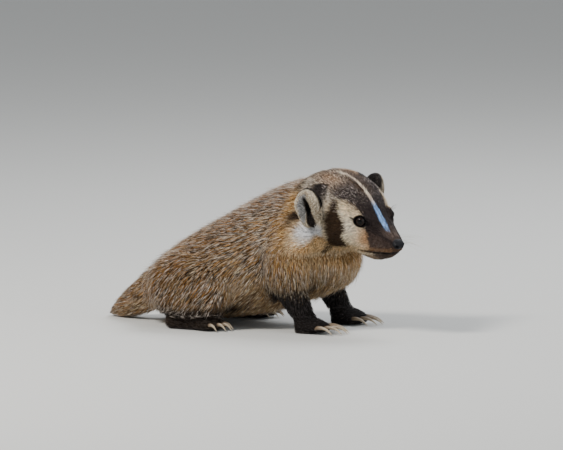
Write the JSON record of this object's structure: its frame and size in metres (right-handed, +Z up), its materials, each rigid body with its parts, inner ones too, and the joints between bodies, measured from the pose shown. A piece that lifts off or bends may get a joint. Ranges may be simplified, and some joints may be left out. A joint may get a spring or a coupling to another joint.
{
  "type": "young american badger",
  "caption": "Life-size still model of a young American badger sitting up on straight forelegs, head turned to its right, with a striped face and grizzled coat.",
  "frame": {"origin": "on the floor under the middle of the animal's box", "axes": "+X towards the forequarters, +Y to the animal's left, +Z up"},
  "size_m": [0.3602, 0.1678, 0.1657],
  "materials": {
    "coat": "coarse grizzled fur",
    "face_coat": "short dense fur, striped",
    "leg_coat": "short black fur",
    "eye": "wet gloss",
    "nose": "fine-grained, slightly moist",
    "claw": "horn, worn at the tips"
  },
  "bodies": {
    "root": {"head": "face_coat", "neck": "coat", "shoulders": "coat", "torso": "coat", "tail": "coat", "thigh_right": "coat", "thigh_left": "coat", "foreleg_right": "leg_coat", "foreleg_left": "leg_coat", "forefoot_right": "leg_coat", "forefoot_left": "leg_coat", "hindfoot_right": "leg_coat", "hindfoot_left": "leg_coat", "ear_right": "face_coat", "ear_left": "face_coat", "eye_right": "eye", "eye_left": "eye", "nose": "nose"}
  },
  "joints": []
}
